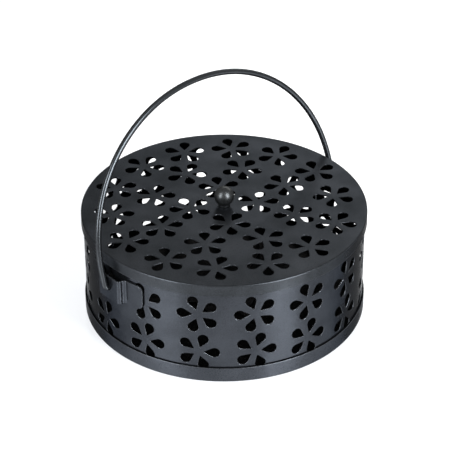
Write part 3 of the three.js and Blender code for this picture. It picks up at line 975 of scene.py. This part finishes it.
def stand_paint():
    return painted("matt black paint", dark=(0.004, 0.004, 0.0045), light=(0.007, 0.007, 0.0075),
                   worn_and_highlit=(0.03, 0.03, 0.03), rough=0.6, grain=0.5, relief=0.4, gloss=0.05)


def zinc_plate():
    return painted("zinc plate", dark=(0.42, 0.43, 0.44), light=(0.55, 0.56, 0.57),
                   worn_and_highlit=(0.5, 0.5, 0.5), rough=0.34, grain=0.8, relief=0.3, metal=1.0)


def dress(material, *pieces):
    for piece in pieces:
        piece.data.materials.append(material)


def make_object():
    dress(lid_paint(), make_lid())
    wall = make_wall()
    dress(tray_paint(), make_tray())
    right = make_bracket("bracket_right_steel", "handle_bracket_right", 0)
    left = make_bracket("bracket_left_steel", "handle_bracket_left", math.pi)
    dress(wall_paint(), wall, right, left)
    dress(handle_paint(), make_handle())
    dress(knob_paint(), make_knob())
    dress(zinc_plate(), make_screw())
    dress(stand_paint(), make_stand())


# Floor
FLOOR_HALF = 6.0
FLOOR_DROP = 0.00005  # below the object's underside
FLOOR_COLOUR = (0.42, 0.42, 0.42)
FLOOR_GLOW = 0.66  # seen by the camera and in reflections
FLOOR_GLOW_COLOUR = (0.95, 0.97, 1.0)
FLOOR_ROUGHNESS = 0.16
FLOOR_GLOSS = 1.0


def seen_directly(tree):
    """1 for camera, glossy and transmission rays, and 0 for the light that reaches the object."""
    ray = add_node(tree, "ShaderNodeLightPath").outputs
    seen = calculate(tree, "MAXIMUM", ray["Is Camera Ray"], ray["Is Glossy Ray"])
    return calculate(tree, "MAXIMUM", seen, ray["Is Transmission Ray"])


def floor_surface():
    material = bpy.data.materials.new("pale floor")
    material.use_nodes = True
    tree = material.node_tree
    shader = tree.nodes["Principled BSDF"]
    shader.inputs["Base Color"].default_value = (*FLOOR_COLOUR, 1)
    shader.inputs["Roughness"].default_value = FLOOR_ROUGHNESS
    shader.inputs["Specular IOR Level"].default_value = FLOOR_GLOSS
    shader.inputs["Emission Color"].default_value = (*FLOOR_GLOW_COLOUR, 1)
    glow = calculate(tree, "MULTIPLY", seen_directly(tree), FLOOR_GLOW)
    tree.links.new(glow, shader.inputs["Emission Strength"])
    return material


def make_floor():
    half = FLOOR_HALF
    corners = [(-half, -half, 0), (half, -half, 0), (half, half, 0), (-half, half, 0)]
    mesh = bpy.data.meshes.new("floor")
    mesh.from_pydata(corners, [], [(0, 1, 2, 3)])
    mesh.materials.append(floor_surface())
    floor = add_object("floor", mesh)
    floor.location.z = -FLOOR_DROP


# World
WORLD_COLOUR = (1.0, 0.99, 0.97)
WORLD_RISE = (0.15, 0.5)  # the light grows between these heights of a direction, where 1 is straight up
WORLD_STRENGTH = (0.33, 0.42)


def make_world():
    """A studio that is dimmer near the horizon than above."""
    world = bpy.data.worlds.new("studio")
    bpy.context.scene.world = world
    world.use_nodes = True
    tree = world.node_tree
    background = tree.nodes["Background"]
    background.inputs["Color"].default_value = (*WORLD_COLOUR, 1)
    direction = add_node(tree, "ShaderNodeTexCoord").outputs["Generated"]
    height = add_node(tree, "ShaderNodeSeparateXYZ", {"Vector": direction}).outputs["Z"]
    tree.links.new(spread(tree, height, *WORLD_RISE, *WORLD_STRENGTH), background.inputs["Strength"])


# Camera
HEADING = math.radians(41.63)  # clockwise from the Y axis, seen from above
CAMERA_PLACE = (-0.5543, -0.6243, 0.5836)
CAMERA_DOWN = 32.66  # below the horizon
CAMERA_ROLL = -0.0045  # radians
CAMERA_LENS = 144.5  # focal length in millimetres
CAMERA_RANGE = 50


def make_camera():
    data = bpy.data.cameras.new("camera")
    data.lens = CAMERA_LENS
    data.clip_end = CAMERA_RANGE
    camera = add_object("camera", data)
    heading = Matrix.Rotation(-HEADING, 4, "Z")
    pitch = Matrix.Rotation(math.radians(90 - CAMERA_DOWN), 4, "X")
    roll = Matrix.Rotation(CAMERA_ROLL, 4, "Z")
    camera.matrix_world = Matrix.Translation(CAMERA_PLACE) @ heading @ pitch @ roll
    bpy.context.scene.camera = camera


# Lamps
AIM = Vector((0, 0, 0.04))  # what the lamps face
SOFTBOX = {"elevation": 28, "distance": 1.3, "width": 0.5, "height": 1.0, "colour": (0.92, 0.96, 1.0)}
BACK_PANEL = {"elevation": 25, "distance": 1.4, "width": 1.2, "height": 0.5, "colour": (1.0, 0.98, 0.95)}


def lamp(name, turn, power, elevation, distance, width, height, colour):
    """A softbox that faces the object; turn is measured from the camera's side, to the right."""
    data = bpy.data.lights.new(name, "AREA")
    data.shape = "RECTANGLE"
    data.size = width
    data.size_y = height
    data.energy = power
    data.color = colour
    a = -HEADING - math.pi / 2 + math.radians(turn)
    e = math.radians(elevation)
    spot = Vector((math.cos(a) * math.cos(e), math.sin(a) * math.cos(e), math.sin(e))) * distance
    facing = (-spot).to_track_quat("-Z", "Y").to_matrix().to_4x4()
    add_object(name, data).matrix_world = Matrix.Translation(spot + AIM) @ facing


def make_lamps():
    lamp("softbox left", turn=-48, power=15, **SOFTBOX)
    lamp("softbox right", turn=45, power=24.5, **SOFTBOX)
    lamp("back panel", turn=160, power=6, **BACK_PANEL)


make_object()
make_floor()
make_world()
make_camera()
make_lamps()

bpy.context.scene.view_settings.view_transform = "Standard"
